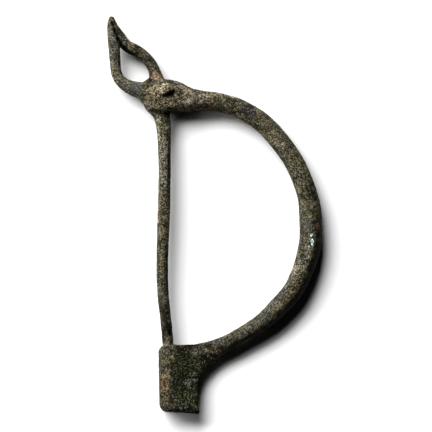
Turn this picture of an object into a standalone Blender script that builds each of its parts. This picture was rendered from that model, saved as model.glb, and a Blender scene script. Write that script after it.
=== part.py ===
"""A bronze bow brooch (fibula) forged from one rod, corroded, lying flat on its back.

The rod starts as a rolled catch, swells into the D-shaped bow, crosses itself at the head, runs out
and back as a hairpin loop, and comes over the crossing again as the pin, whose point lies in the
catch. The crossing has fused into a lump. +X runs from the pin to the belly of the bow, +Y from the
catch to the loop, +Z up from the table. The sizes are in millimetres, and millimetres() turns them
into the metres of the model.
"""

import math

import bmesh
import bpy
from mathutils import Vector

MM = 0.001

# Foot of the rod, hammered out into the catch: x, y, z of its axis and its width
FOOT_STATIONS = (
    (-7.0, -36.6, 3.2, 6.8),
    (-3.2, -35.4, 2.4, 6.3),
    (0.0, -33.8, 2.3, 4.7),
)
FOOT_FLAT_TO_X = -7.0
FOOT_ROUND_FROM_X = 4.5
FOOT_HEIGHT_RATIO = 0.12

# Bow: reach of its axis from the middle of the D at angles from +X: degrees, reach, diameter
D_MIDDLE = (-12.0, -2.9)
BOW_AXIS_Z = 2.75
BOW_STATIONS = (
    (-62, 32.95, 3.8),
    (-48, 33.6, 4.05),
    (-38, 34.4, 4.8),
    (-25, 35.6, 5.15),
    (-8, 36.1, 5.65),
    (5, 36.0, 5.6),
    (13, 36.0, 5.1),
    (28, 35.6, 4.95),
    (46, 35.25, 4.9),
    (58, 34.65, 4.8),
    (67, 33.85, 4.6),
    (74, 32.9, 4.8),
)

# Fused head, and the left strand of the hairpin loop out to its tip: x, y, z, width
HEAD_STATIONS = (
    (-6.3, 28.9, 2.8, 5.9),
    (-8.4, 29.3, 2.8, 6.8),
    (-10.2, 29.8, 2.8, 7.8),
    (-12.8, 29.7, 2.8, 8.8),
    (-15.0, 29.7, 2.8, 8.1),
    (-16.8, 30.2, 2.8, 5.8),
    (-18.9, 31.2, 2.7, 4.4),
)
HEAD_HEIGHT_RATIO = 0.72
HEAD_MIDDLE_X = -13.0
HEAD_LENGTH = 8.0
LEFT_STRAND = (
    (-21.0, 31.8, 2.7, 3.6),
    (-23.3, 33.1, 2.8, 2.9),
    (-24.8, 35.2, 3.0, 2.7),
    (-25.25, 38.5, 3.2, 2.7),
    (-25.5, 41.8, 3.3, 2.75),
    (-26.1, 45.2, 3.2, 2.3),
    (-26.5, 48.3, 3.0, 1.4),
    (-26.3, 50.0, 2.9, 0.8),
)

# Right strand of the loop, from the tip down over the front of the head: x, y, z, diameter
RIGHT_STRAND = (
    (-26.1, 49.8, 2.9, 0.9),
    (-25.2, 47.4, 2.7, 1.4),
    (-24.0, 45.1, 2.5, 2.2),
    (-22.5, 42.6, 2.3, 2.9),
    (-19.55, 41.0, 2.4, 2.95),
    (-16.95, 38.9, 2.8, 2.75),
    (-15.55, 36.6, 3.1, 2.85),
    (-14.9, 34.4, 3.5, 3.4),
    (-14.0, 31.4, 3.6, 3.8),
)

# Pin, from under the head to its point in the catch: x, y, z of its axis and its diameter
PIN_STATIONS = (
    (-14.4, 30.0, 2.5, 8.2),
    (-14.5, 28.4, 2.5, 7.8),
    (-14.4, 27.3, 2.5, 6.8),
    (-14.0, 26.2, 2.5, 5.3),
    (-13.6, 25.1, 2.5, 4.3),
    (-13.4, 24.2, 2.7, 4.0),
    (-13.2, 23.0, 2.8, 3.8),
    (-12.9, 18.5, 3.2, 3.3),
    (-12.8, 10.5, 3.4, 3.0),
    (-13.0, 0.0, 3.5, 3.1),
    (-13.35, -10.0, 3.5, 2.9),
    (-13.3, -18.5, 3.4, 2.8),
    (-12.3, -28.5, 3.1, 2.7),
    (-11.9, -34.0, 2.9, 2.6),
    (-11.8, -41.0, 2.7, 1.9),
    (-11.8, -46.5, 2.5, 0.8),
)
PIN_ROUND_TO_Y = 21.0
PIN_FLAT_FROM_Y = 25.0
PIN_HEIGHT_RATIO = 0.5

# Shoulder of the head between the strands, the knob on its front and the pit beside the knob
SHOULDER_CENTRE = (-16.3, 32.2, 2.7)
SHOULDER_SIZE = (4.2, 4.2, 4.4)
KNOB_CENTRE = (-12.3, 31.7, 5.4)
KNOB_SIZE = (2.7, 2.2, 2.2)
PIT_CENTRE = (-11.1, 30.2, 6.1)
PIT_SIZE = (2.6, 1.2, 1.9)
PIT_TURN = math.radians(25)

# Catch: a sheet from the foot of the bow, rolled behind the pin, its free edge under the plate
CATCH_TOP_Y = -32.8
CATCH_BOTTOM_Y = -49.65
CATCH_BOTTOM_SLOPE = 0.4
PLATE_TOP_Z = 2.4
PLATE_BOTTOM_Z = 4.0
PLATE_THICK = 1.2
PLATE_DIP_WIDTH = 6.0
PLATE_THINS_FROM = 0.3
ROLL_X = -11.85
ROLL_LEAN = 0.25
ROLL_Z = 2.46
ROLL_RADIUS = 2.08
ROLL_THICK = 0.84
ROLL_CORNER = 1.35
FLAP_REACH = 2.4
FLAP_LIFT = 0.4
# Right-hand edge of the plate down to its lower corner: y, x
PLATE_EDGE = (
    (-32.8, 0.0),
    (-36.0, 0.0),
    (-39.6, -3.6),
    (-40.9, -3.8),
    (-41.8, -4.5),
    (-48.0, -4.6),
    (-49.9, -3.9),
)
CRACK_TIP = (-6.4, -40.9)
CRACK_LENGTH = 3.5
CRACK_WIDTH = 0.4
CRACK_Z = 3.6

# How finely the shape is worked
MAIN_RINGS = 4.0
PIN_RINGS = 2.0
MAIN_RESOLUTION = 6
PIN_RESOLUTION = 4
BALL_SEGMENTS = 24
BALL_RINGS = 16
SHEET_STEPS = 36
VOXEL = 0.22
SMOOTH_PASSES = 10
SMOOTH_FACTOR = 0.5
FACES_KEPT = 0.045
WELD_DISTANCE = 0.00001
TABLE_SIZE = 120.0


def millimetres(*values):
    """Turn millimetres into the metres of the model."""
    return Vector([value * MM for value in values])


def ease(value, start, end):
    """Run smoothly from 0 at start to 1 at end."""
    share = min(max((value - start) / (end - start), 0.0), 1.0)
    return share * share * (3.0 - 2.0 * share)


def mix(start, end, share):
    """The value at a share of the way from start to end."""
    return start + (end - start) * share


def spline_value(places, gaps, share):
    """One coordinate of a smooth curve through four places, at a share of its middle gap."""
    before, here, there, after = places
    slope_in = (there - before) * gaps[1] / (gaps[0] + gaps[1])
    slope_out = (after - here) * gaps[1] / (gaps[1] + gaps[2])
    rise = there - here
    bend = 3.0 * rise - 2.0 * slope_in - slope_out
    twist = slope_in + slope_out - 2.0 * rise
    return here + slope_in * share + bend * share ** 2 + twist * share ** 3


def smooth_path(stations, rings):
    """Points along a smooth curve through the stations, with that many rings in a diameter's length."""
    ends = [stations[0], *stations, stations[-1]]
    path = []
    for i in range(1, len(stations)):
        four = ends[i - 1:i + 3]
        gaps = [math.dist(start[:3], end[:3]) for start, end in zip(four, four[1:])]
        count = math.ceil(rings * gaps[1] / four[1][3])
        for j in range(count):
            path.append([spline_value(places, gaps, j / count) for places in zip(*four)])
    path.append(stations[-1])
    return path


def edge_at(stations, place):
    """The second value of a falling table of pairs where the first is place."""
    for (high, start), (low, end) in zip(stations, stations[1:]):
        if place >= low:
            return mix(start, end, (high - place) / (high - low))
    return stations[-1][1]


def new_material():
    """Bronze under a dull olive-brown corrosion crust."""
    material = bpy.data.materials.new("corroded_bronze")
    material.use_nodes = True
    shader = material.node_tree.nodes["Principled BSDF"]
    shader.inputs["Base Color"].default_value = (0.075, 0.068, 0.048, 1.0)
    shader.inputs["Roughness"].default_value = 0.6
    shader.inputs["Metallic"].default_value = 0.25
    return material


def new_collection(name):
    """A collection linked to the scene."""
    collection = bpy.data.collections.new(name)
    bpy.context.scene.collection.children.link(collection)
    return collection


def add_object(name, mesh, collection):
    """An object of the mesh in the collection."""
    result = bpy.data.objects.new(name, mesh)
    collection.objects.link(result)
    return result


def weld(mesh):
    """Join the loose caps of a mesh to its sides, with every face pointing out."""
    shape = bmesh.new()
    shape.from_mesh(mesh)
    bmesh.ops.remove_doubles(shape, verts=shape.verts, dist=WELD_DISTANCE)
    bmesh.ops.recalc_face_normals(shape, faces=shape.faces)
    shape.to_mesh(mesh)
    shape.free()


def mesh_of_curve(curve, collection):
    """An object with the welded mesh of a curve, under the curve's name."""
    drawn = add_object(curve.name, curve, collection)
    depsgraph = bpy.context.evaluated_depsgraph_get()
    mesh = bpy.data.meshes.new_from_object(drawn.evaluated_get(depsgraph))
    bpy.data.objects.remove(drawn)
    weld(mesh)
    return add_object(curve.name, mesh, collection)


def rod(name, stations, collection, rings, resolution, height_ratio=None):
    """A rod through the stations, round but where height_ratio flattens it."""
    path = smooth_path(stations, rings)
    curve = bpy.data.curves.new(name, "CURVE")
    curve.dimensions = "3D"
    curve.bevel_depth = MM / 2.0
    curve.bevel_resolution = resolution
    curve.render_resolution_u = 0
    curve.use_fill_caps = True
    spline = curve.splines.new("POLY")
    spline.points.add(len(path) - 1)
    for point, (x, y, z, diameter) in zip(spline.points, path):
        point.co = (*millimetres(x, y, z), 1.0)
        point.radius = diameter
    result = mesh_of_curve(curve, collection)
    if height_ratio:
        axis = [millimetres(*place[:3]) for place in path]
        for vertex in result.data.vertices:
            middle = min(axis, key=lambda place: (place - vertex.co).length_squared)
            vertex.co.z = middle.z + (vertex.co.z - middle.z) * height_ratio(middle)
    return result


def main_height_ratio(place):
    """Height over width of the main rod: 1 on the arch and the loop, less at the foot and the head."""
    x = place.x / MM
    if place.y < 0.0:
        return mix(FOOT_HEIGHT_RATIO, 1.0, ease(x, FOOT_FLAT_TO_X, FOOT_ROUND_FROM_X))
    return mix(HEAD_HEIGHT_RATIO, 1.0, ease(abs(x - HEAD_MIDDLE_X), 0.0, HEAD_LENGTH))


def pin_height_ratio(place):
    """Height over width of the pin: 1 on the shank, less where it spreads into the head."""
    return mix(1.0, PIN_HEIGHT_RATIO, ease(place.y / MM, PIN_ROUND_TO_Y, PIN_FLAT_FROM_Y))


def main_stations():
    """Stations of the main rod, from the catch over the bow and the head to the loop's tip."""
    arch = []
    for degrees, reach, diameter in BOW_STATIONS:
        angle = math.radians(degrees)
        x = D_MIDDLE[0] + reach * math.cos(angle)
        y = D_MIDDLE[1] + reach * math.sin(angle)
        arch.append((x, y, BOW_AXIS_Z, diameter))
    return [*FOOT_STATIONS, *arch, *HEAD_STATIONS, *LEFT_STRAND]


def ball(name, centre, size, collection, turn=0.0):
    """A ball drawn out to the three sizes and turned about the vertical."""
    shape = bmesh.new()
    bmesh.ops.create_uvsphere(shape, u_segments=BALL_SEGMENTS, v_segments=BALL_RINGS, radius=0.5)
    bmesh.ops.scale(shape, verts=shape.verts, vec=millimetres(*size))
    mesh = bpy.data.meshes.new(name)
    shape.to_mesh(mesh)
    shape.free()
    result = add_object(name, mesh, collection)
    result.location = millimetres(*centre)
    result.rotation_euler.z = turn
    return result


def roll_corner(turn):
    """How far the roll's rounded corners draw in the sheet's ends at this turn round the roll."""
    past = (ROLL_RADIUS * math.sin(turn) - ROLL_RADIUS + ROLL_CORNER) / ROLL_CORNER
    past = min(max(past, 0.0), 1.0)
    return ROLL_CORNER * (1.0 - math.sqrt(1.0 - past * past))


def sheet_place(along, down):
    """Middle of the catch's sheet: along is 0 to 1 on the plate, to 2 on the roll, to 3 on the flap."""
    turn = math.pi * min(max(along - 1.0, 0.0), 1.0)
    corner = roll_corner(turn)
    bottom = CATCH_BOTTOM_Y - CATCH_BOTTOM_SLOPE * max(1.0 - along, 0.0)
    y = mix(CATCH_TOP_Y - corner, bottom + corner, down)
    middle = ROLL_X + ROLL_LEAN * down
    if along < 1.0:
        x = mix(edge_at(PLATE_EDGE, y), middle, along)
        plate_z = mix(PLATE_TOP_Z, PLATE_BOTTOM_Z, down)
        z = mix(ROLL_Z + ROLL_RADIUS, plate_z, ease(x, middle, middle + PLATE_DIP_WIDTH))
    elif along <= 2.0:
        x = middle - ROLL_RADIUS * math.sin(turn)
        z = ROLL_Z + ROLL_RADIUS * math.cos(turn)
    else:
        x = middle + FLAP_REACH * (along - 2.0)
        z = ROLL_Z - ROLL_RADIUS + FLAP_LIFT * (along - 2.0) ** 3
    return millimetres(x, y, z)


def catch_sheet(collection):
    """The plate, roll and flap of the catch as one sheet with its thickness."""
    shape = bmesh.new()
    bmesh.ops.create_grid(shape, x_segments=SHEET_STEPS, y_segments=SHEET_STEPS, size=1.0)
    mesh = bpy.data.meshes.new("catch_sheet")
    shape.to_mesh(mesh)
    shape.free()
    result = add_object("catch_sheet", mesh, collection)
    thickness = result.vertex_groups.new(name="thickness")
    for vertex in mesh.vertices:
        along = 1.5 * (vertex.co.x + 1.0)
        down = 0.5 * (1.0 - vertex.co.y)
        share = mix(1.0, ROLL_THICK / PLATE_THICK, ease(along, PLATE_THINS_FROM, 1.0))
        thickness.add([vertex.index], share, "REPLACE")
        vertex.co = sheet_place(along, down)
    solid = result.modifiers.new("thickness", "SOLIDIFY")
    solid.thickness = PLATE_THICK * MM
    solid.offset = 0.0
    solid.use_even_offset = True
    solid.vertex_group = thickness.name
    return result


def crack_wedge(collection):
    """The wedge that opens the crack in the right-hand edge of the plate."""
    x, y = CRACK_TIP
    mouth_x = x + CRACK_LENGTH
    corners = ((x, y), (mouth_x, y - CRACK_WIDTH / 2.0), (mouth_x, y + CRACK_WIDTH / 2.0))
    curve = bpy.data.curves.new("crack_wedge", "CURVE")
    curve.dimensions = "2D"
    curve.fill_mode = "BOTH"
    curve.extrude = CRACK_Z * MM
    curve.render_resolution_u = 0
    spline = curve.splines.new("POLY")
    spline.points.add(len(corners) - 1)
    for point, corner in zip(spline.points, corners):
        point.co = (*millimetres(*corner, 0.0), 1.0)
    spline.use_cyclic_u = True
    result = mesh_of_curve(curve, collection)
    result.location.z = CRACK_Z * MM
    return result


def table_block(collection):
    """The block under the table plane that gives the brooch its small flat spots."""
    shape = bmesh.new()
    bmesh.ops.create_cube(shape, size=TABLE_SIZE * MM)
    mesh = bpy.data.meshes.new("table_block")
    shape.to_mesh(mesh)
    shape.free()
    result = add_object("table_block", mesh, collection)
    result.location.z = -TABLE_SIZE * MM / 2.0
    return result


def cut(target, cutter, operation):
    """Join or cut the target with another shape, which is then hidden."""
    modifier = target.modifiers.new(cutter.name, "BOOLEAN")
    modifier.operation = operation
    modifier.object = cutter
    modifier.solver = "EXACT"
    cutter.hide_render = True
    cutter.display_type = "WIRE"


def soften(target):
    """Fuse the joined shapes into one skin, round its edges and thin its faces out."""
    skin = target.modifiers.new("skin", "REMESH")
    skin.mode = "VOXEL"
    skin.voxel_size = VOXEL * MM
    rounding = target.modifiers.new("rounding", "SMOOTH")
    rounding.factor = SMOOTH_FACTOR
    rounding.iterations = SMOOTH_PASSES
    thinning = target.modifiers.new("thinning", "DECIMATE")
    thinning.ratio = FACES_KEPT


def build():
    """Model the brooch."""
    for old in list(bpy.data.objects):
        bpy.data.objects.remove(old)
    parts = new_collection("fibula_brooch")
    cutters = new_collection("cutters")

    fibula = rod("fibula", main_stations(), parts, MAIN_RINGS, MAIN_RESOLUTION, main_height_ratio)
    fibula.data.materials.append(new_material())
    cut(fibula, rod("right_strand", RIGHT_STRAND, cutters, MAIN_RINGS, MAIN_RESOLUTION), "UNION")
    cut(fibula, ball("shoulder", SHOULDER_CENTRE, SHOULDER_SIZE, cutters), "UNION")
    cut(fibula, ball("knob", KNOB_CENTRE, KNOB_SIZE, cutters), "UNION")
    cut(fibula, ball("pit", PIT_CENTRE, PIT_SIZE, cutters, PIT_TURN), "DIFFERENCE")
    cut(fibula, catch_sheet(cutters), "UNION")
    soften(fibula)
    pin = rod("pin", PIN_STATIONS, cutters, PIN_RINGS, PIN_RESOLUTION, pin_height_ratio)
    cut(fibula, pin, "UNION")
    cut(fibula, crack_wedge(cutters), "DIFFERENCE")
    cut(fibula, table_block(cutters), "DIFFERENCE")


build()
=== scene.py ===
import math

import bmesh
import bpy
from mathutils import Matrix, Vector


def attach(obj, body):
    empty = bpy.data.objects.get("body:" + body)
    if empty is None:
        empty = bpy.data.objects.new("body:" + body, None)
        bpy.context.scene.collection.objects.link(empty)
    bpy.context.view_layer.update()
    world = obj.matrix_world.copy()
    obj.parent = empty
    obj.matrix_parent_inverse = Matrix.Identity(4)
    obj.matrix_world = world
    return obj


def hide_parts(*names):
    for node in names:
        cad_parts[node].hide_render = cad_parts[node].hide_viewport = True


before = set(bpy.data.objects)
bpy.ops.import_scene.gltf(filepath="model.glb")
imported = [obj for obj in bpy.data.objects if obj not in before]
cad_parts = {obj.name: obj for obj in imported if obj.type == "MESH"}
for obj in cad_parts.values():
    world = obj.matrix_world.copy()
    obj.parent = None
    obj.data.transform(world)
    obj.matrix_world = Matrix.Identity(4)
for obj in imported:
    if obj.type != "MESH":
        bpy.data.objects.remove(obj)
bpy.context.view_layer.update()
mm = 0.001
print("frame loaded")


def linear(hexColour):  # an sRGB hex colour as a linear RGBA value
    channels = [int(hexColour[i:i + 2], 16) / 255 for i in (1, 3, 5)]
    return [c / 12.92 if c <= 0.04045 else ((c + 0.055) / 1.055) ** 2.4 for c in channels] + [1.0]


def addNode(tree, kind, settings=None, inputs=None):  # a node with its settings, its values and its links
    node = tree.nodes.new(kind)
    for name, value in (settings or {}).items():
        setattr(node, name, value)
    for name, value in (inputs or {}).items():
        if isinstance(value, bpy.types.NodeSocket):
            tree.links.new(value, node.inputs[name])
        else:
            node.inputs[name].default_value = value
    return node


def calc(tree, operation, *values):  # one step of arithmetic
    return addNode(tree, "ShaderNodeMath", {"operation": operation}, dict(enumerate(values))).outputs[0]


def vectorMath(tree, operation, first, second, output=0):  # one step of arithmetic with vectors
    node = addNode(tree, "ShaderNodeVectorMath", {"operation": operation}, {0: first, 1: second})
    return node.outputs[output]


def scaled(tree, vector, factor):
    node = addNode(tree, "ShaderNodeVectorMath", {"operation": "SCALE"}, {0: vector, "Scale": factor})
    return node.outputs[0]


def partOf(tree, vector, axis):  # x, y or z of a vector, as 0, 1 or 2
    return addNode(tree, "ShaderNodeSeparateXYZ", None, {0: vector}).outputs[axis]


def rise(tree, value, low, high, top=1.0):  # runs smoothly from 0 at low to top at high
    return addNode(
        tree, "ShaderNodeMapRange", {"interpolation_type": "SMOOTHSTEP"},
        {"Value": value, "From Min": low, "From Max": high, "To Min": 0.0, "To Max": top},
    ).outputs[0]


# Body of the brooch: the solid's own form, refined so that it can carry the crust
bodyLook = {
    "voxel": 0.22 * mm,
    "roundings": 8,
}


def refinedCopy(node, name, look):  # a fine even skin over a copy of a CAD node
    shape = bmesh.new()
    shape.from_mesh(node.data)
    bmesh.ops.remove_doubles(shape, verts=shape.verts, dist=0.001 * mm)
    mesh = bpy.data.meshes.new(name)
    shape.to_mesh(mesh)
    shape.free()
    piece = bpy.data.objects.new(name, mesh)
    bpy.context.scene.collection.objects.link(piece)
    skin = piece.modifiers.new("skin", "REMESH")
    skin.mode = "VOXEL"
    skin.voxel_size = look["voxel"]
    rounding = piece.modifiers.new("rounding", "SMOOTH")
    rounding.iterations = look["roundings"]
    return piece


def bakeDown(piece):  # the piece's modifiers become its plain mesh
    bpy.context.view_layer.update()
    shown = piece.evaluated_get(bpy.context.evaluated_depsgraph_get())
    mesh = bpy.data.meshes.new_from_object(shown)
    piece.modifiers.clear()
    piece.data = mesh
    mesh.name = piece.name
    for face in mesh.polygons:
        face.use_smooth = True


def noiseAt(tree, where, size, detail, seed, roughness=0.5):  # noise with bumps of that size
    scale = calc(tree, "DIVIDE", 1.0, size)
    return addNode(
        tree, "ShaderNodeTexNoise", {"noise_dimensions": "4D"},
        {"Vector": where, "W": seed, "Scale": scale, "Detail": detail, "Roughness": roughness},
    ).outputs[0]


# Corroded bronze: bronze gone over to a dull earthy crust. It looks like fine grit, olive-grey to
# brown, with pale grains standing out, black pits between them and smoother blue-grey bare places.
bronzeLook = {
    "dark": "#2d2b1f",
    "olive": "#403c2d",
    "brown": "#42372a",
    "slate": "#333633",
    "pale": "#a19580",
    "pit": "#030302",
    "roughness": 0.65,
    "specular": 0.04,
    "blotchiness": 0.3,
    "contrast": 20.0,
    "brightest": 3.2,
    "bump": 0.22 * mm,
    "edgeWander": 1.3,
    "edgeGrit": 0.4,
    # how far low grit darkens to the pit colour: painted shade in the pits, with grime
    "pitShadeAndGrime": 0.8,
}

# Noises that the bronze is mixed from: size in mm, detail, seed and roughness
bronzeNoises = {
    "grit": (0.3, 2.0, 1.0, 0.6),
    "regions": (4.5, 3.0, 3.0, 0.5),
    "browns": (3.5, 4.0, 4.0, 0.6),
    "slates": (3.0, 3.0, 5.0, 0.5),
    "blotches": (0.9, 1.0, 6.0, 0.5),
    "patches": (2.6, 2.0, 8.0, 0.5),
}

# Where each colour comes in: none below the first value, most above the second, and how much that is
colourRises = {
    "olive": (0.35, 0.65, 1.0),
    "brown": (0.5, 0.68, 0.5),
    "slate": (0.54, 0.68, 0.5),
    "pale": (0.58, 0.78, 0.5),
    "pit": (0.25, 0.7, 1.0),
}

# The tones that corroded bronze goes through, from the pits to the turquoise
tones = {
    "pit": "#020202",
    "soot": "#080804",
    "peat": "#14100a",
    "bog": "#101508",
    "night": "#121218",
    "umber": "#221c14",
    "moss": "#182014",
    "earth": "#282820",
    "darkSlate": "#2c2c2c",
    "darkOlive": "#303024",
    "honey": "#3c2c18",
    "slate": "#383834",
    "ash": "#424038",
    "bronze": "#443e30",
    "redBrown": "#502c14",
    "pewter": "#4c4a40",
    "hazel": "#544c38",
    "sand": "#585044",
    "flint": "#625b52",
    "khaki": "#625c48",
    "cork": "#665544",
    "linen": "#6b6559",
    "bone": "#7e7764",
    "straw": "#8e886e",
    "rust": "#947250",
    "ginger": "#a08460",
    "dullGreen": "#748478",
    "verdigris": "#9cb0a4",
    "turquoise": "#b8d6c8",
}
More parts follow.
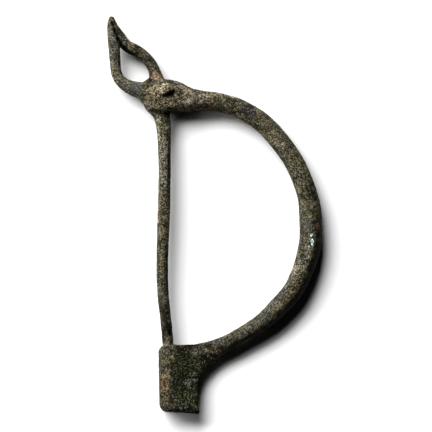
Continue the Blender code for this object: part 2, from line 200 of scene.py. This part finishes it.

# Places with a tone of their own, and some of painted light or painted shade, marked below: tone, middle
# and half-sizes in mm, turn in degrees, strength
stains = {
    "paleHead": ("bronze", (-12.6, 29.3, 5.0), (6.0, 5.0, 3.5), 0, 0.6),
    "tealRing": ("pewter", (23.9, -6.9, 5.2), (1.3, 2.2, 2.0), 0, 0.9),
    "darkPlate": ("bog", (-6.0, -41.8, 4.2), (8.5, 13.5, 3.0), 0, 0.95),
    # painted shade along the plate's lower edge
    "lipShade": ("pit", (-7.0, -49.6, 3.6), (6.0, 1.8, 3.0), 0, 0.85),
    # painted shade on the edge where the foot meets the plate, facing away from the lamps
    "insideCornerShade": ("pit", (-1.3, -36.6, 3.0), (3.0, 3.6, 3.0), -45, 0.85),
    "darkPin": ("soot", (-12.6, -25.0, 3.0), (3.0, 12.0, 3.0), 0, 0.7),
    "turquoise": ("turquoise", (24.32, -6.9, 5.4), (0.5, 1.3, 2.0), 8, 1.0),
    "turquoiseTop": ("verdigris", (24.05, -5.1, 5.4), (0.35, 0.5, 2.0), 0, 0.8),
    "turquoiseSide": ("dullGreen", (23.4, -8.05, 5.4), (0.7, 0.4, 2.0), 0, 0.8),
    "rust": ("rust", (25.5, -2.9, 3.8), (0.9, 2.2, 3.0), 0, 0.65),
    "brownStrand": ("umber", (-16.6, 38.0, 4.0), (1.5, 3.0, 3.0), 35, 0.6),
    # painted shade on the right strand's flank that faces away from the lamps
    "strandFlankShade": ("peat", (-19.0, 41.3, 3.0), (2.4, 1.0, 3.0), -35, 0.6),
    "paleStrand": ("linen", (-25.3, 33.8, 4.0), (1.6, 1.6, 3.0), 0, 0.7),
    "greyBelly": ("darkSlate", (21.4, 0.3, 4.6), (1.4, 2.6, 3.0), 0, 0.6),
    "brownBow": ("hazel", (12.6, 19.4, 4.0), (1.6, 3.4, 3.0), 50, 0.6),
    "greyBow": ("night", (12.6, 25.2, 4.0), (1.4, 2.6, 3.0), 60, 0.6),
    "brownShoulder": ("flint", (-9.6, 33.2, 4.0), (1.6, 1.0, 3.0), -25, 0.7),
    "greyFoot": ("darkSlate", (1.2, -31.8, 4.0), (3.0, 1.3, 3.0), 20, 0.7),
    "paleBelly": ("linen", (22.9, -11.8, 4.6), (1.2, 2.4, 3.0), -15, 0.6),
    "slateElbow": ("ash", (-22.4, 32.9, 4.0), (3.6, 2.4, 3.0), -25, 0.8),
    "greyStrand": ("ash", (-25.7, 41.0, 4.0), (1.9, 9.0, 3.0), 4, 0.65),
    # painted shade in the groove between the strands at the tip
    "tipGrooveShade": ("peat", (-24.5, 46.4, 4.0), (0.8, 3.4, 3.0), 30, 0.75),
    "paleShoulder": ("sand", (0.5, 30.6, 4.0), (2.4, 1.0, 3.0), -5, 0.6),
    "darkCorner": ("pit", (1.8, -33.2, 4.0), (2.6, 1.0, 3.0), 35, 0.7),
    "paleInnerLow": ("pewter", (18.2, -17.2, 4.0), (1.1, 3.0, 3.0), -40, 0.5),
    "paleLumpLeft": ("flint", (-17.4, 27.2, 4.0), (1.6, 1.6, 3.0), 0, 0.7),
    "redRim": ("redBrown", (26.5, -5.6, 3.2), (0.5, 2.0, 3.0), 0, 0.6),
    "tanRim": ("ginger", (26.1, -4.1, 4.0), (0.7, 0.3, 3.0), -25, 0.8),
    "tanRimSide": ("rust", (26.3, -5.2, 4.0), (0.25, 0.8, 3.0), 0, 0.8),
    "tanRimEnd": ("cork", (25.8, -6.3, 4.0), (0.7, 0.25, 3.0), 40, 0.8),
    "darkBlob": ("peat", (25.7, -5.0, 4.4), (0.5, 0.9, 3.0), 0, 0.85),
    "slateBelly": ("slate", (23.2, -2.6, 5.0), (1.4, 3.0, 3.0), 10, 0.7),
    "brownBelly": ("darkSlate", (21.9, -7.2, 3.6), (0.8, 4.6, 3.0), 4, 0.7),
    "inkyBow": ("pit", (24.4, 4.6, 4.0), (1.8, 2.4, 3.0), 0, 0.7),
    "slateBow": ("night", (8.7, 25.6, 5.0), (3.6, 2.4, 3.0), -38, 0.75),
    "slateLow": ("pewter", (21.9, -16.8, 4.6), (1.0, 1.9, 3.0), 0, 0.7),
    "oliveLow": ("hazel", (19.1, -21.4, 4.6), (1.6, 1.5, 3.0), 40, 0.6),
    "greyLow": ("darkSlate", (15.0, -21.8, 4.6), (1.4, 7.0, 3.0), -35, 0.5),
    "greyLowEnd": ("slate", (8.4, -28.6, 4.6), (1.4, 6.0, 3.0), -52, 0.5),
    "palePin": ("pewter", (-12.9, 12.0, 3.5), (2.6, 14.0, 3.0), 0, 0.5),
    "palePinSide": ("pewter", (-14.8, 20.5, 3.0), (1.3, 6.0, 3.0), 0, 0.8),
    "palePinMiddle": ("flint", (-14.3, 0.8, 3.0), (0.9, 4.0, 3.0), 0, 0.6),
    "darkPinSide": ("pit", (-11.7, -28.5, 3.0), (1.1, 6.0, 3.0), 8, 0.95),
    "darkPinEnd": ("pit", (-12.6, -30.5, 3.0), (2.2, 3.5, 3.0), 0, 0.85),
    "darkPinRight": ("soot", (-11.7, 9.0, 3.0), (0.8, 16.0, 3.0), 0, 0.85),
    "darkPinRightLow": ("pit", (-12.1, -14.0, 3.0), (0.8, 13.0, 3.0), 2, 0.85),
    "paleBow": ("linen", (3.8, 29.8, 4.2), (2.6, 1.3, 3.0), -12, 0.7),
    "paleInner": ("sand", (16.0, 17.5, 4.0), (1.2, 3.0, 3.0), 40, 0.7),
    "paleLow": ("flint", (20.0, -13.6, 4.0), (1.1, 3.2, 3.0), -30, 0.5),
    "darkFoot": ("soot", (-5.2, -33.3, 4.0), (6.0, 1.7, 3.0), 0, 0.8),
    "paleRoll": ("earth", (-13.2, -41.0, 4.0), (2.2, 10.5, 2.6), 0, 0.8),
    "goldenRoll": ("honey", (-12.55, -42.6, 4.3), (1.7, 6.0, 1.6), 0, 0.75),
    "smoothRoll": ("bronze", (-12.9, -37.4, 4.3), (1.5, 1.3, 1.6), 0, 0.8),
    # painted shadow line beside the rolled flap's edge
    "rollEdgeShadow": ("pit", (-11.15, -40.4, 4.3), (0.6, 2.8, 1.6), 8, 0.7),
    "paleFlank": ("bog", (-11.2, -36.8, 4.0), (1.1, 1.8, 3.0), 0, 0.75),
    "paleFlankLow": ("umber", (-10.9, -45.4, 4.0), (1.0, 3.4, 3.0), 0, 0.7),
    # painted shade at the roll's bottom end
    "rollEndShade": ("soot", (-10.2, -49.9, 3.6), (2.4, 0.8, 3.0), 0, 0.85),
    "darkRollSpot": ("pit", (-10.6, -48.7, 4.0), (1.0, 0.9, 3.0), 0, 0.7),
    "darkRollSide": ("pit", (-14.0, -47.8, 3.4), (0.8, 1.4, 3.0), 0, 0.7),
    "darkPinFoot": ("pit", (-11.2, -26.4, 2.5), (0.5, 2.4, 3.0), 2, 0.8),
    "darkFootTop": ("soot", (-0.3, -34.0, 3.5), (1.5, 0.9, 3.0), 0, 0.7),
    # painted shadow of the knob at its lower right
    "knobShadowEnd": ("pit", (-10.5, 29.7, 5.6), (0.7, 0.6, 2.0), 0, 0.75),
    "paleElbowEdge": ("bone", (-18.9, 28.8, 3.4), (1.0, 0.5, 3.0), -35, 0.6),
    "paleStrandFoot": ("bone", (-13.6, 33.8, 4.4), (0.7, 0.8, 3.0), 0, 0.6),
    "palePinHigh": ("straw", (-14.1, 19.6, 3.4), (0.7, 1.3, 3.0), 0, 0.6),
    "palePinEdge": ("linen", (-14.4, -1.3, 3.4), (0.6, 1.6, 3.0), 0, 0.6),
    "greyCatch": ("bog", (-10.6, -40.5, 4.0), (1.7, 10.0, 3.0), 0, 0.7),
    "rollEnd": ("umber", (-12.9, -48.4, 4.0), (1.9, 1.1, 3.0), 0, 0.75),
    "palePlate": ("slate", (-7.0, -42.2, 4.2), (1.2, 1.3, 1.6), 0, 0.7),
    "paleCrack": ("pewter", (-5.2, -41.7, 4.2), (1.2, 0.45, 1.6), 0, 0.8),
    "paleCrackTop": ("darkOlive", (-5.4, -39.8, 4.2), (1.3, 0.9, 1.6), 0, 0.7),
    "greenPlate": ("moss", (-8.2, -47.1, 4.2), (1.9, 1.0, 1.6), 0, 0.7),
    "brownCorner": ("soot", (-7.1, -48.8, 4.2), (2.1, 1.1, 1.6), 0, 0.7),
    # painted light on the lower side of the lump, neck and bow's start
    "litLumpUnderside": ("khaki", (-12.6, 27.4, 4.0), (5.0, 1.5, 4.0), 0, 0.8),
    "litNeckUnderside": ("linen", (-7.2, 28.2, 4.0), (3.4, 1.3, 4.0), 8, 0.75),
    "litBowStart": ("sand", (-3.4, 29.2, 4.0), (2.6, 1.8, 4.0), 0, 0.7),
    "tanHead": ("hazel", (-15.0, 31.2, 5.0), (3.6, 2.4, 3.0), 0, 0.6),
    "tanNeck": ("sand", (-8.2, 30.6, 5.0), (3.4, 2.6, 3.0), -20, 0.5),
    "slateNeck": ("flint", (-5.4, 29.2, 5.0), (1.6, 1.3, 3.0), 0, 0.7),
    "tanStrand": ("cork", (-15.0, 34.8, 4.0), (1.7, 3.2, 3.0), 20, 0.75),
    "slateBand": ("ash", (-15.0, 33.5, 4.6), (1.4, 0.5, 3.0), 0, 0.9),
    "slateStrand": ("slate", (-19.6, 31.5, 4.0), (2.6, 2.4, 3.0), 0, 0.9),
    "paleKnob": ("bone", (-12.4, 32.1, 6.0), (2.7, 2.0, 2.0), 0, 0.9),
    "oliveSpot": ("darkOlive", (-12.3, 31.9, 6.0), (0.5, 0.4, 1.8), 0, 0.8),
    "greenKnob": ("hazel", (-11.9, 32.1, 6.0), (1.5, 1.3, 2.0), 0, 0.85),
    "whiteKnob": ("linen", (-14.0, 31.45, 5.6), (0.9, 0.7, 1.6), 0, 0.9),
    "brownNeck": ("peat", (-16.4, 35.5, 4.4), (0.9, 1.2, 3.0), 0, 0.8),
    "paleKnobFoot": ("straw", (-11.9, 31.1, 5.6), (0.8, 0.5, 2.0), 15, 0.85),
    # painted shade on the belly's outer rim, which faces away from the lamps
    "bellyRimShade": ("pit", (26.3, 2.2, 3.2), (0.7, 2.4, 3.0), 0, 0.7),
    "brownRim": ("rust", (26.5, -4.0, 3.2), (0.7, 1.2, 3.0), 0, 0.8),
    "darkShoulder": ("umber", (18.3, 11.7, 5.0), (1.0, 1.4, 3.0), 30, 0.6),
    "palePinTop": ("khaki", (-14.3, 23.9, 3.4), (0.7, 2.2, 3.0), 10, 0.6),
    "darkPinMiddle": ("umber", (-11.7, -20.9, 3.0), (0.6, 1.6, 3.0), 0, 0.65),
    "darkPinEntry": ("pit", (-10.8, -31.0, 3.0), (0.7, 1.2, 3.0), 0, 0.65),
    # painted shade at the plate's bottom edge
    "plateEndShade": ("pit", (-8.8, -49.1, 4.0), (2.4, 0.8, 3.0), 0, 0.8),
    "paleBowTop": ("bone", (17.1, 17.6, 5.0), (0.9, 0.9, 3.0), 0, 0.5),
    "darkBowSpot": ("earth", (12.1, 23.1, 4.8), (1.5, 1.3, 3.0), -40, 0.7),
    "paleBowSpot": ("sand", (21.5, 10.0, 4.8), (1.1, 1.3, 3.0), 20, 0.5),
    "darkBowLow": ("earth", (23.0, 5.2, 4.8), (1.3, 2.0, 3.0), 10, 0.5),
}

# Places with a crust of their own: middle, half-sizes, turn, how much smoother, or with a minus rougher,
# and how much less blotchy
crustPlaces = {
    "belly": ((22.6, -3.0, 4.6), (2.8, 7.5, 3.5), 0, 0.4, 0.3),
    "strand": ((-19.4, 31.4, 4.0), (2.6, 2.2, 3.0), 0, 0.55, 0.5),
    "neck": ((-5.4, 29.2, 5.0), (1.9, 1.4, 3.0), 0, 0.6, 0.0),
    "rollTop": ((-12.9, -37.4, 4.2), (1.6, 1.3, 2.0), 0, 0.7, 0.0),
    "head": ((-13.0, 29.0, 5.0), (6.0, 5.0, 3.0), 0, -0.15, 0.4),
    "elbow": ((-22.4, 32.9, 4.0), (3.6, 2.4, 3.0), -25, 0.35, 0.5),
    "leftStrand": ((-25.7, 41.0, 4.0), (1.9, 9.0, 3.0), 4, 0.2, 0.3),
    "strandFoot": ((-15.0, 34.8, 4.0), (1.7, 3.2, 3.0), 20, 0.3, 0.3),
    "pin": ((-12.9, 8.0, 3.5), (2.6, 22.0, 3.0), 0, -0.3, 0.8),
    "pinLow": ((-12.6, -22.0, 3.5), (2.6, 14.0, 3.0), 0, 0.0, 0.8),
    "lowBow": ((10.0, -27.0, 4.6), (3.5, 14.0, 3.5), -50, 0.25, 0.3),
    "highBow": ((16.5, 19.0, 4.6), (5.0, 17.0, 3.5), 38, 0.1, 0.4),
    "goldenRoll": ((-12.75, -42.8, 4.3), (1.6, 5.6, 2.0), 0, -0.4, 0.5),
    "plate": ((-6.5, -41.5, 4.2), (9.0, 12.0, 3.0), 0, -0.3, 0.9),
}


def colourMix(tree, share, under, over):
    return addNode(tree, "ShaderNodeMix", {"data_type": "RGBA"}, {0: share, 6: under, 7: over}).outputs[2]


# Outer side of the lower bow, darkened as painted shade where it faces away from the lamps: an arc round a
# middle, with its lengths in mm
shadedOuterSide = {
    "middle": (-9.0, -1.0),
    "inner": 33.3,
    "outer": 35.2,
    "noneAboveY": 9.0,
    "fullBelowY": -6.0,
    "noneLeftOfX": -1.0,
    "fullRightOfX": 5.0,
    "darkening": 0.87,
}


def paintedSideShade(tree, where, side):  # how much the painted shade darkens it there
    middle = Vector((*side["middle"], 0.0)) * mm
    level = vectorMath(tree, "MULTIPLY", where, (1.0, 1.0, 0.0))
    reach = vectorMath(tree, "DISTANCE", level, middle, "Value")
    low = rise(tree, partOf(tree, where, 1), side["noneAboveY"] * mm, side["fullBelowY"] * mm)
    right = rise(tree, partOf(tree, where, 0), side["noneLeftOfX"] * mm, side["fullRightOfX"] * mm)
    outside = rise(tree, reach, side["inner"] * mm, side["outer"] * mm, side["darkening"])
    return calc(tree, "MULTIPLY", calc(tree, "MULTIPLY", low, right), outside)


# Edge of a place: where its own fading begins and ends, and where its ragged outline does
placeEdge = {
    "fading": (0.0, 0.25),
    "outline": (0.15, 0.5),
}


def placeShare(tree, where, middle, halves, turn, raggedness):  # 1 in a place and 0 past its edge
    place = addNode(tree, "ShaderNodeMapping", {"vector_type": "TEXTURE"}, {
        "Vector": where,
        "Location": [c * mm for c in middle],
        "Rotation": (0.0, 0.0, math.radians(turn)),
        "Scale": [h * mm for h in halves],
    }).outputs[0]
    ball = addNode(tree, "ShaderNodeTexGradient", {"gradient_type": "SPHERICAL"}, {"Vector": place})
    near = ball.outputs[1]
    ragged = calc(tree, "ADD", near, raggedness)
    fading = rise(tree, near, *placeEdge["fading"])
    return calc(tree, "MULTIPLY", fading, rise(tree, ragged, *placeEdge["outline"]))


def aroundZero(tree, noise, strength):  # a noise as plus or minus, times a strength
    return calc(tree, "MULTIPLY", calc(tree, "SUBTRACT", noise, 0.5), strength)


def plainBronze(tree, noise, look):  # the crust's own colours, before stains and grit
    colour = linear(look["dark"])
    for name, pattern in (("olive", "regions"), ("brown", "browns"), ("slate", "slates")):
        share = rise(tree, noise[pattern], *colourRises[name])
        colour = colourMix(tree, share, colour, linear(look[name]))
    return colour


def stained(tree, where, raggedness, colour):
    normal = addNode(tree, "ShaderNodeNewGeometry").outputs["Normal"]
    front = rise(tree, partOf(tree, normal, 2), -0.6, -0.1)  # the back keeps the plain crust
    for tone, middle, halves, turn, strength in stains.values():
        share = calc(tree, "MULTIPLY", placeShare(tree, where, middle, halves, turn, raggedness), strength)
        colour = colourMix(tree, calc(tree, "MULTIPLY", share, front), colour, linear(tones[tone]))
    return colour


def crustSpeckle(tree, where, noise, raggedness, look):  # pale grains near 1, pits near 0
    crustiness = 1.0
    blotchiness = look["blotchiness"]
    for middle, halves, turn, smoother, evener in crustPlaces.values():
        share = placeShare(tree, where, middle, halves, turn, raggedness)
        crustiness = calc(tree, "SUBTRACT", crustiness, calc(tree, "MULTIPLY", share, smoother))
        evening = calc(tree, "MULTIPLY", share, evener * look["blotchiness"])
        blotchiness = calc(tree, "SUBTRACT", blotchiness, evening)
    uneven = calc(tree, "SUBTRACT", calc(tree, "ADD", noise["blotches"], noise["patches"]), 1.0)
    uneven = calc(tree, "MULTIPLY", uneven, calc(tree, "MAXIMUM", blotchiness, 0.0))
    speckle = calc(tree, "ADD", noise["grit"], uneven)
    return calc(tree, "ADD", aroundZero(tree, speckle, crustiness), 0.5)


def corrodedBronze(look):
    material = bpy.data.materials.new("corrodedBronze")
    material.use_nodes = True
    tree = material.node_tree
    where = addNode(tree, "ShaderNodeTexCoord").outputs["Object"]
    noise = {}
    for name, (size, detail, seed, roughness) in bronzeNoises.items():
        noise[name] = noiseAt(tree, where, size * mm, detail, seed, roughness)
    wander = aroundZero(tree, noise["browns"], look["edgeWander"])
    raggedness = calc(tree, "ADD", wander, aroundZero(tree, noise["grit"], look["edgeGrit"]))
    colour = stained(tree, where, raggedness, plainBronze(tree, noise, look))
    speckle = crustSpeckle(tree, where, noise, raggedness, look)
    shade = calc(tree, "POWER", 2.0, aroundZero(tree, speckle, look["contrast"]))
    colour = scaled(tree, colour, calc(tree, "MINIMUM", shade, look["brightest"]))
    colour = colourMix(tree, rise(tree, speckle, *colourRises["pale"]), colour, linear(look["pale"]))
    # painted shade: the lower bow's outer side, which faces away from the lamps, made darker
    colour = scaled(tree, colour, calc(tree, "SUBTRACT", 1.0, paintedSideShade(tree, where, shadedOuterSide)))
    # painted shade along the creases, stored with the mesh
    creaseShade = addNode(tree, "ShaderNodeAttribute", {"attribute_name": "creaseShade"}).outputs["Fac"]
    # painted shade in the creases and pits, with grime in the pits, mixes towards the pit colour
    shadeAndGrime = calc(tree, "SUBTRACT", creaseShade, aroundZero(tree, speckle, look["pitShadeAndGrime"]))
    colour = colourMix(tree, rise(tree, shadeAndGrime, *colourRises["pit"]), colour, linear(look["pit"]))
    relief = {"Height": speckle, "Distance": look["bump"], "Strength": 1.0}
    bump = addNode(tree, "ShaderNodeBump", None, relief).outputs[0]
    shader = tree.nodes["Principled BSDF"]
    tree.links.new(colour, shader.inputs["Base Color"])
    tree.links.new(bump, shader.inputs["Normal"])
    shader.inputs["Roughness"].default_value = look["roughness"]
    shader.inputs["Specular IOR Level"].default_value = look["specular"]
    return material


# Crust in the mesh itself: broad hammered lumps and grains
crust = {
    "Thickness": 0.08 * mm,
    "Lump size": 4.0 * mm,
    "Lump height": 0.24 * mm,
    "Grain size": 0.8 * mm,
    "Grain height": 0.2 * mm,
    "Seed": 7.0,
}

# How crooked the creases run: size and reach of their bends
creaseWander = {
    "size": 0.9 * mm,
    "reach": 0.7 * mm,
}

# Creases, pits and cracks seen from the front: start, end, half width and depth in mm, and darkness, which
# is painted shade in them
creases = {
    # painted shadow of the knob, over the small pit in the head
    "pitAndKnobShadow": ((-13.5, 29.8), (-12.3, 29.7), 0.9, 0.12, 0.75),
    "pitAndKnobShadowMiddle": ((-12.3, 29.7), (-10.8, 30.1), 1.15, 0.15, 1.0),
    "pitAndKnobShadowRight": ((-10.8, 30.1), (-10.4, 31.0), 0.9, 0.15, 0.9),
    # painted shade under the lump's lower edge
    "lumpEdge": ((-12.6, 25.4), (-10.8, 25.0), 0.6, 0.5, 1.0),
    "lumpEdgeLeft": ((-16.0, 26.6), (-13.0, 25.8), 0.35, 0.12, 0.5),
    "headCrack": ((-18.9, 29.8), (-16.5, 30.2), 0.3, 0.25, 0.9),
    # painted shade in the groove and fork between the strands and on the right strand's flank that faces
    # away from the lamps
    "strandGroove": ((-26.0, 48.3), (-25.2, 46.0), 0.4, 0.5, 1.0),
    "strandGrooveLow": ((-25.2, 46.0), (-24.4, 44.0), 0.55, 0.6, 1.0),
    "strandFork": ((-24.4, 44.0), (-23.7, 42.6), 0.8, 0.5, 1.0),
    "strandForkLow": ((-23.7, 42.6), (-22.5, 41.5), 0.9, 0.2, 1.0),
    "strandFlank": ((-22.5, 41.4), (-20.5, 40.2), 0.65, 0.1, 0.9),
    "strandFlankLow": ((-20.5, 40.2), (-18.4, 38.7), 0.45, 0.1, 0.8),
    "plateCrack": ((-6.6, -41.0), (-3.6, -41.0), 0.32, 0.35, 1.0),
    "plateRidge": ((-6.3, -39.5), (-4.3, -39.4), 0.25, 0.1, 0.6),
    "plateRidgeLow": ((-6.2, -40.3), (-4.4, -40.2), 0.25, 0.1, 0.7),
    "nickTop": ((-4.0, -40.3), (-3.3, -40.2), 0.4, 0.2, 0.9),
    "nickMiddle": ((-4.9, -42.4), (-4.0, -42.2), 0.35, 0.2, 0.9),
    "nickLow": ((-4.9, -44.5), (-4.3, -44.4), 0.35, 0.2, 0.8),
    "nickBottom": ((-5.2, -46.5), (-4.7, -46.4), 0.35, 0.2, 0.8),
    # painted shade in the corner where the foot meets the plate
    "footFold": ((-4.2, -36.8), (-3.2, -36.6), 0.3, 0.1, 0.6),
    "footFoldLow": ((-3.4, -38.1), (-2.3, -37.7), 0.3, 0.1, 0.7),
    "footEdge": ((-1.8, -36.5), (-0.8, -36.6), 0.35, 0.1, 0.8),
    # painted shadow lines beside the rolled flap's edge
    "rollFront": ((-10.25, -33.2), (-10.1, -36.0), 0.3, 0.1, 0.5),
    "plateCrease": ((-11.6, -38.8), (-10.4, -41.8), 0.3, 0.08, 0.45),
    "plateCreaseEnd": ((-10.2, -42.0), (-9.6, -42.3), 0.35, 0.1, 0.8),
    # painted shade along the bottom edge and under the lower lip
    "bottomLine": ((-13.2, -49.25), (-9.0, -49.4), 0.3, 0.2, 1.0),
    "lowerLip": ((-4.6, -49.7), (-3.8, -49.7), 0.5, 0.2, 1.0),
}


def nearLine(tree, where, start, end, halfWidth):  # 1 on the line, falling to 0 at the half width
    start = Vector((*start, 0.0)) * mm
    along = Vector((*end, 0.0)) * mm - start
    offset = vectorMath(tree, "SUBTRACT", where, start)
    share = vectorMath(tree, "DOT_PRODUCT", offset, along / along.length_squared, "Value")
    share = addNode(tree, "ShaderNodeClamp", None, {"Value": share}).outputs[0]
    distance = vectorMath(tree, "DISTANCE", offset, scaled(tree, along, share), "Value")
    return rise(tree, distance, halfWidth * mm, 0.0)


def crustTree(inputs):  # lifts the skin into a crust, cuts the creases and stores the painted shade in them
    tree = bpy.data.node_groups.new("crust", "GeometryNodeTree")
    tree.interface.new_socket("Geometry", in_out="INPUT", socket_type="NodeSocketGeometry")
    tree.interface.new_socket("Geometry", in_out="OUTPUT", socket_type="NodeSocketGeometry")
    sockets = {}
    for name in ("Material", *inputs):
        kind = "NodeSocketMaterial" if name == "Material" else "NodeSocketFloat"
        sockets[name] = tree.interface.new_socket(name, in_out="INPUT", socket_type=kind)
    given = addNode(tree, "NodeGroupInput")
    where = addNode(tree, "GeometryNodeInputPosition").outputs[0]
    normal = addNode(tree, "GeometryNodeInputNormal").outputs[0]

    height = given.outputs["Thickness"]
    for kind in ("Lump", "Grain"):
        size = given.outputs[kind + " size"]
        noise = noiseAt(tree, where, size, detail=3.0, seed=given.outputs["Seed"], roughness=0.55)
        height = calc(tree, "ADD", height, aroundZero(tree, noise, given.outputs[kind + " height"]))

    bends = {"Vector": where, "Scale": 1.0 / creaseWander["size"]}
    wander = addNode(tree, "ShaderNodeTexNoise", None, bends).outputs[1]
    wander = scaled(tree, vectorMath(tree, "SUBTRACT", wander, (0.5, 0.5, 0.5)), creaseWander["reach"])
    flat = vectorMath(tree, "MULTIPLY", vectorMath(tree, "ADD", wander, where), (1.0, 1.0, 0.0))
    front = rise(tree, partOf(tree, normal, 2), 0.0, 0.4)  # creases only where the front can be seen
    creaseShade = 0.0
    # each crease's darkness is painted shade in it
    for start, end, halfWidth, depth, darkness in creases.values():
        near = calc(tree, "MULTIPLY", nearLine(tree, flat, start, end, halfWidth), front)
        creaseShade = calc(tree, "MAXIMUM", creaseShade, calc(tree, "MULTIPLY", near, darkness))
        height = calc(tree, "SUBTRACT", height, calc(tree, "MULTIPLY", near, depth * mm))

    place = vectorMath(tree, "ADD", where, scaled(tree, normal, height))
    place = vectorMath(tree, "MAXIMUM", place, (-1.0, -1.0, 0.0))  # nothing goes below the table
    moved = addNode(
        tree, "GeometryNodeSetPosition", None,
        {"Geometry": given.outputs["Geometry"], "Position": place},
    )
    stored = addNode(
        tree, "GeometryNodeStoreNamedAttribute", {"data_type": "FLOAT", "domain": "POINT"},
        {"Geometry": moved.outputs[0], "Name": "creaseShade", "Value": creaseShade},
    )
    whole = addNode(tree, "GeometryNodeRealizeInstances", None, {"Geometry": stored.outputs[0]})
    dressed = addNode(
        tree, "GeometryNodeSetMaterial", None,
        {"Geometry": whole.outputs[0], "Material": given.outputs["Material"]},
    )
    addNode(tree, "NodeGroupOutput", None, {"Geometry": dressed.outputs[0]})
    return tree, sockets


def addCrust(piece, inputs, material):
    tree, sockets = crustTree(inputs)
    modifier = piece.modifiers.new("crust", "NODES")
    modifier.node_group = tree
    modifier[sockets["Material"].identifier] = material
    for name, value in inputs.items():
        modifier[sockets[name].identifier] = value


brooch = refinedCopy(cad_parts["fibula"], "brooch", bodyLook)
addCrust(brooch, crust, corrodedBronze(bronzeLook))
bakeDown(brooch)
print("brooch of", len(brooch.data.polygons), "faces")

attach(brooch, "root")
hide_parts("fibula")


# Table, camera, lamps and the room's faint light
stageLook = {
    "floorSize": 2.0,
    "lens": 200.0,
    "shownWidth": 108.8 * mm,
    "aim": (0.13 * mm, -0.38 * mm, 2.75 * mm),
    "lampDistance": 2.0,
    "tableColour": "#ebebeb",
    "tableRoughness": 0.9,
    "roomStrength": 0.002,
}


def makeFloor(look):
    half = look["floorSize"] / 2
    corners = [(-half, -half, 0), (half, -half, 0), (half, half, 0), (-half, half, 0)]
    mesh = bpy.data.meshes.new("floor")
    mesh.from_pydata(corners, [], [(0, 1, 2, 3)])
    floor = bpy.data.objects.new("floor", mesh)
    bpy.context.scene.collection.objects.link(floor)
    material = bpy.data.materials.new("whiteTable")
    material.use_nodes = True
    shader = material.node_tree.nodes["Principled BSDF"]
    shader.inputs["Base Color"].default_value = linear(look["tableColour"])
    shader.inputs["Roughness"].default_value = look["tableRoughness"]
    mesh.materials.append(material)


def makeCamera(look):
    camera = bpy.data.objects.new("camera", bpy.data.cameras.new("camera"))
    bpy.context.scene.collection.objects.link(camera)
    camera.data.lens = look["lens"]
    distance = look["shownWidth"] * look["lens"] / camera.data.sensor_width
    camera.location = Vector(look["aim"]) + Vector((0, 0, distance))
    camera.data.clip_start = distance * 0.1
    camera.data.clip_end = distance * 10
    bpy.context.scene.camera = camera


# Big soft light from the upper left, a paler card at the left and a small high lamp:
# azimuth and elevation in degrees, width and height in metres, power in watts
lamps = {
    "softbox": (124, 36, 2.3, 0.75, 96.0),
    "sideCard": (165, 22, 1.6, 0.6, 26.0),
    "highLamp": (122, 48, 1.4, 0.6, 13.0),
}


def makeLight(name, azimuth, elevation, width, height, power, look):
    light = bpy.data.lights.new(name, "AREA")
    light.shape = "ELLIPSE"
    light.size = width
    light.size_y = height
    light.energy = power
    holder = bpy.data.objects.new(name, light)
    bpy.context.scene.collection.objects.link(holder)
    turn, slope = math.radians(azimuth), math.radians(elevation)
    flat = math.cos(slope)
    place = Vector((math.cos(turn) * flat, math.sin(turn) * flat, math.sin(slope))) * look["lampDistance"]
    holder.location = Vector(look["aim"]) + place
    holder.rotation_mode = "QUATERNION"
    holder.rotation_quaternion = place.to_track_quat("Z", "Y")


def makeRoom(look):
    world = bpy.data.worlds.new("studio")
    bpy.context.scene.world = world
    world.use_nodes = True
    background = world.node_tree.nodes["Background"]
    background.inputs["Color"].default_value = (1, 1, 1, 1)
    background.inputs["Strength"].default_value = look["roomStrength"]
    bpy.context.scene.view_settings.view_transform = "Standard"


makeFloor(stageLook)
makeCamera(stageLook)
for name, (azimuth, elevation, width, height, power) in lamps.items():
    makeLight(name, azimuth, elevation, width, height, power, stageLook)
makeRoom(stageLook)
print("table, camera and lamps placed")
